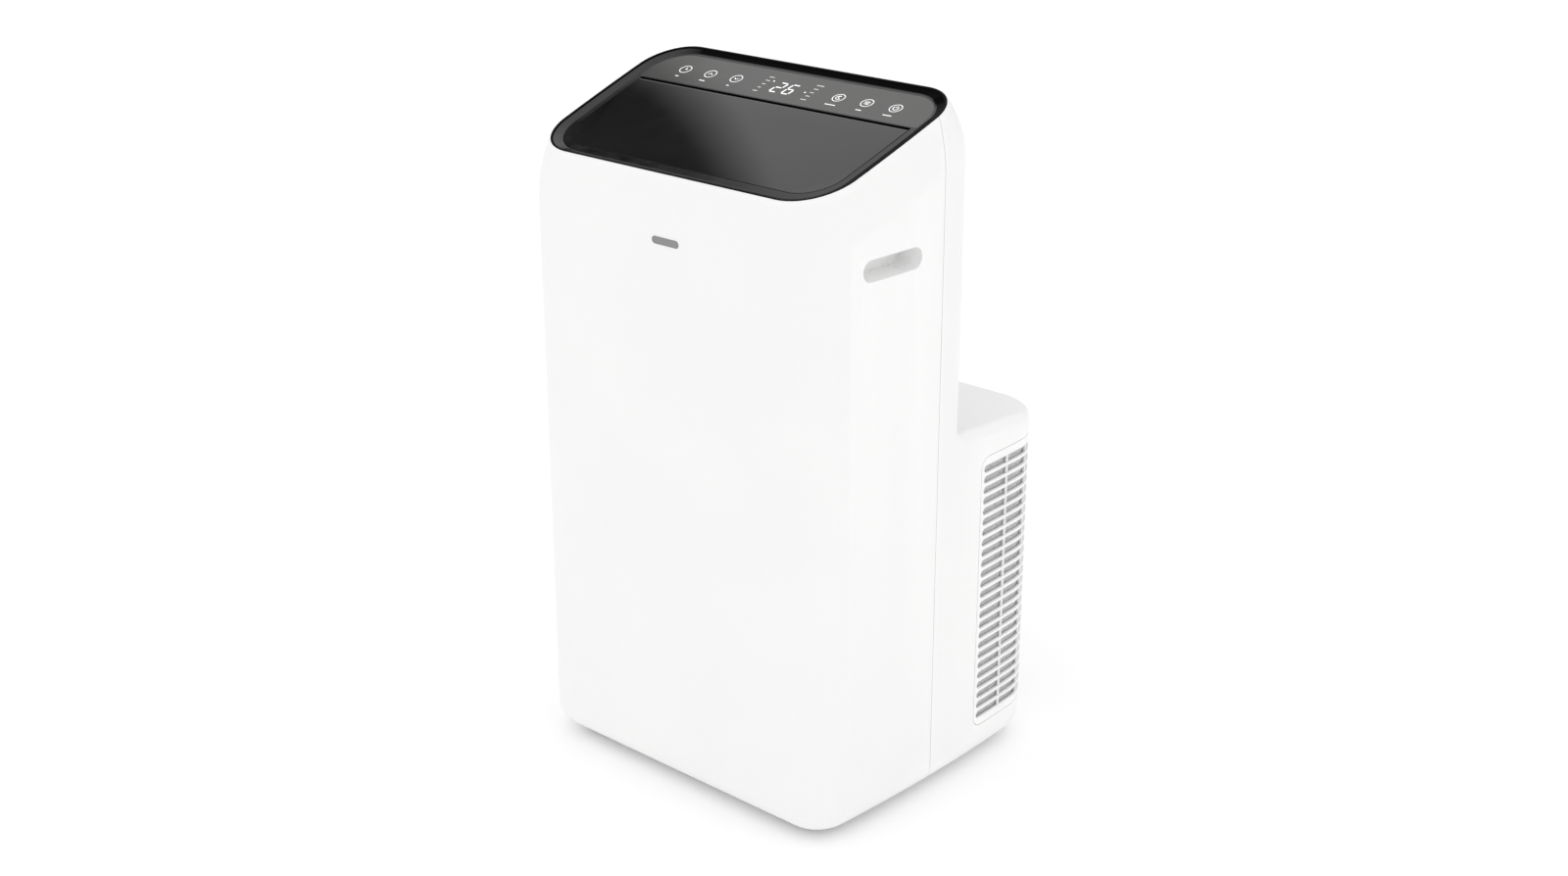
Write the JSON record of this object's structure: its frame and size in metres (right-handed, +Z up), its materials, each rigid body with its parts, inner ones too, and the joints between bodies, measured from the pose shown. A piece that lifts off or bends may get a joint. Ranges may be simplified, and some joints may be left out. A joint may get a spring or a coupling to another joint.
{
  "type": "portable air conditioner",
  "caption": "Upright white portable air conditioner with a sloping black top, hinged outlet flap, touch strip, rear intake grille and casters.",
  "frame": {"origin": "on the floor, under the middle of the overall box", "axes": "+Z up, -Y towards the front, +X to the right-hand side seen from the front"},
  "size_m": [0.397, 0.352, 0.7],
  "materials": {
    "white_shell": "satin, fine moulded grain",
    "white_grille": "satin, fine moulded grain",
    "white_duct": "satin",
    "grey_plastic": "matte",
    "dark_plastic": "matte",
    "black_gloss": "polished",
    "black_glass": "polished with printed symbols",
    "board_green": "solder mask",
    "filter_mesh": "fine woven mesh",
    "screw_steel": "zinc plated",
    "bright_steel": "ground",
    "motor_steel": "satin",
    "coil_aluminium": "bare fin stock",
    "compressor_paint": "gloss black enamel",
    "copper": "drawn copper",
    "rubber": "matte",
    "caster_plastic": "satin",
    "wheel_plastic": "satin"
  },
  "bodies": {
    "cabinet": {"front_shell": "white_shell", "rear_shell": "white_shell", "base_pan": "grey_plastic", "shell_screws": "screw_steel", "handle_cup_right": "white_shell", "handle_cup_left": "white_shell", "top_bezel": "black_gloss", "control_glass": "black_glass", "display_board": "board_green", "flap_motor": "grey_plastic", "outlet_duct": "white_duct", "vane_motor": "grey_plastic", "evaporator_scroll": "grey_plastic", "condenser_scroll": "grey_plastic", "evaporator_motor": "motor_steel", "condenser_motor": "motor_steel", "cold_riser": "white_duct", "hot_duct": "grey_plastic", "exhaust_collar": "white_shell", "evaporator_coil": "coil_aluminium", "condenser_coil": "coil_aluminium", "drain_pan": "grey_plastic", "compressor": "compressor_paint", "compressor_feet": "rubber", "discharge_pipe": "copper", "accumulator": "copper", "suction_pipe": "copper", "electrical_box": "grey_plastic", "run_capacitor": "coil_aluminium", "slinger_motor": "motor_steel", "drain_spout": "grey_plastic", "cord_gland": "rubber"},
    "flap": {"outlet_flap": "black_gloss", "flap_pins": "bright_steel"},
    "link_bar": {"vane_link_bar": "dark_plastic"},
    "cold_fan": {"evaporator_fan": "dark_plastic", "evaporator_shaft": "bright_steel"},
    "hot_fan": {"condenser_fan": "dark_plastic", "condenser_shaft": "bright_steel"},
    "slinger": {"slinger_wheel": "dark_plastic"},
    "grille": {"intake_grille": "white_grille", "filter_mesh": "filter_mesh"},
    "plug": {"drain_plug": "rubber"},
    "vane_1": {"swing_vane_1": "dark_plastic"},
    "vane_2": {"swing_vane_2": "dark_plastic"},
    "vane_3": {"swing_vane_3": "dark_plastic"},
    "vane_4": {"swing_vane_4": "dark_plastic"},
    "vane_5": {"swing_vane_5": "dark_plastic"},
    "caster_front_left": {"caster_fork_front_left": "caster_plastic", "caster_axle_front_left": "bright_steel"},
    "wheel_front_left": {"caster_wheel_front_left": "wheel_plastic"},
    "caster_front_right": {"caster_fork_front_right": "caster_plastic", "caster_axle_front_right": "bright_steel"},
    "wheel_front_right": {"caster_wheel_front_right": "wheel_plastic"},
    "caster_rear_left": {"caster_fork_rear_left": "caster_plastic", "caster_axle_rear_left": "bright_steel"},
    "wheel_rear_left": {"caster_wheel_rear_left": "wheel_plastic"},
    "caster_rear_right": {"caster_fork_rear_right": "caster_plastic", "caster_axle_rear_right": "bright_steel"},
    "wheel_rear_right": {"caster_wheel_rear_right": "wheel_plastic"}
  },
  "joints": [
    {"name": "flap_hinge", "type": "hinge", "parent": "cabinet", "child": "flap", "pos_m": [0, -0.03631, 0.66998], "axis": [-1, 0, 0], "range_deg": [0, 70]},
    {"name": "vane_swing", "type": "hinge", "parent": "cabinet", "child": "vane_1", "pos_m": [-0.11, -0.08491, 0.61332], "axis": [0, -0.3306, 0.9438], "range_deg": [-30, 30]},
    {"name": "vane_2_swing", "type": "hinge", "parent": "cabinet", "child": "vane_2", "pos_m": [-0.055, -0.08491, 0.61332], "axis": [0, -0.3306, 0.9438], "range_deg": [-31, 31]},
    {"name": "vane_3_swing", "type": "hinge", "parent": "cabinet", "child": "vane_3", "pos_m": [0, -0.08491, 0.61332], "axis": [0, -0.3306, 0.9438], "range_deg": [-31, 31]},
    {"name": "vane_4_swing", "type": "hinge", "parent": "cabinet", "child": "vane_4", "pos_m": [0.055, -0.08491, 0.61332], "axis": [0, -0.3306, 0.9438], "range_deg": [-31, 31]},
    {"name": "vane_5_swing", "type": "hinge", "parent": "cabinet", "child": "vane_5", "pos_m": [0.11, -0.08491, 0.61332], "axis": [0, -0.3306, 0.9438], "range_deg": [-31, 31]},
    {"name": "link_bar_slide", "type": "slide", "parent": "cabinet", "child": "link_bar", "axis": [-1, 0, 0], "range_m": [-0.0108, 0.0108]},
    {"name": "evaporator_fan_spin", "type": "hinge", "parent": "cabinet", "child": "cold_fan", "pos_m": [-0.04, -0.1, 0.292], "axis": [0, 1, 0], "continuous": true},
    {"name": "condenser_fan_spin", "type": "hinge", "parent": "cabinet", "child": "hot_fan", "pos_m": [0.085, -0.04, 0.122], "axis": [0, 1, 0], "continuous": true},
    {"name": "slinger_spin", "type": "hinge", "parent": "cabinet", "child": "slinger", "pos_m": [0, 0.084, 0.046], "axis": [0, 1, 0], "continuous": true},
    {"name": "grille_pull", "type": "slide", "parent": "cabinet", "child": "grille", "axis": [0, 1, 0], "range_m": [0, 0.15]},
    {"name": "drain_plug_pull", "type": "slide", "parent": "cabinet", "child": "plug", "axis": [0, 1, 0], "range_m": [0, 0.03]},
    {"name": "caster_front_left_swivel", "type": "hinge", "parent": "cabinet", "child": "caster_front_left", "pos_m": [-0.14, -0.12, 0.04], "axis": [0, 0, 1], "continuous": true},
    {"name": "wheel_front_left_roll", "type": "hinge", "parent": "caster_front_left", "child": "wheel_front_left", "pos_m": [-0.14, -0.111, 0.016], "axis": [1, 0, 0], "continuous": true},
    {"name": "caster_front_right_swivel", "type": "hinge", "parent": "cabinet", "child": "caster_front_right", "pos_m": [0.14, -0.12, 0.04], "axis": [0, 0, 1], "continuous": true},
    {"name": "wheel_front_right_roll", "type": "hinge", "parent": "caster_front_right", "child": "wheel_front_right", "pos_m": [0.14, -0.111, 0.016], "axis": [1, 0, 0], "continuous": true},
    {"name": "caster_rear_left_swivel", "type": "hinge", "parent": "cabinet", "child": "caster_rear_left", "pos_m": [-0.14, 0.12, 0.04], "axis": [0, 0, 1], "continuous": true},
    {"name": "wheel_rear_left_roll", "type": "hinge", "parent": "caster_rear_left", "child": "wheel_rear_left", "pos_m": [-0.14, 0.129, 0.016], "axis": [1, 0, 0], "continuous": true},
    {"name": "caster_rear_right_swivel", "type": "hinge", "parent": "cabinet", "child": "caster_rear_right", "pos_m": [0.14, 0.12, 0.04], "axis": [0, 0, 1], "continuous": true},
    {"name": "wheel_rear_right_roll", "type": "hinge", "parent": "caster_rear_right", "child": "wheel_rear_right", "pos_m": [0.14, 0.129, 0.016], "axis": [1, 0, 0], "continuous": true}
  ],
  "couplings": [
    {"joint": "vane_2_swing", "follows": "vane_swing", "ratio": 1},
    {"joint": "vane_3_swing", "follows": "vane_swing", "ratio": 1},
    {"joint": "vane_4_swing", "follows": "vane_swing", "ratio": 1},
    {"joint": "vane_5_swing", "follows": "vane_swing", "ratio": 1},
    {"joint": "link_bar_slide", "follows": "vane_swing", "m_per_rad": 0.02}
  ]
}
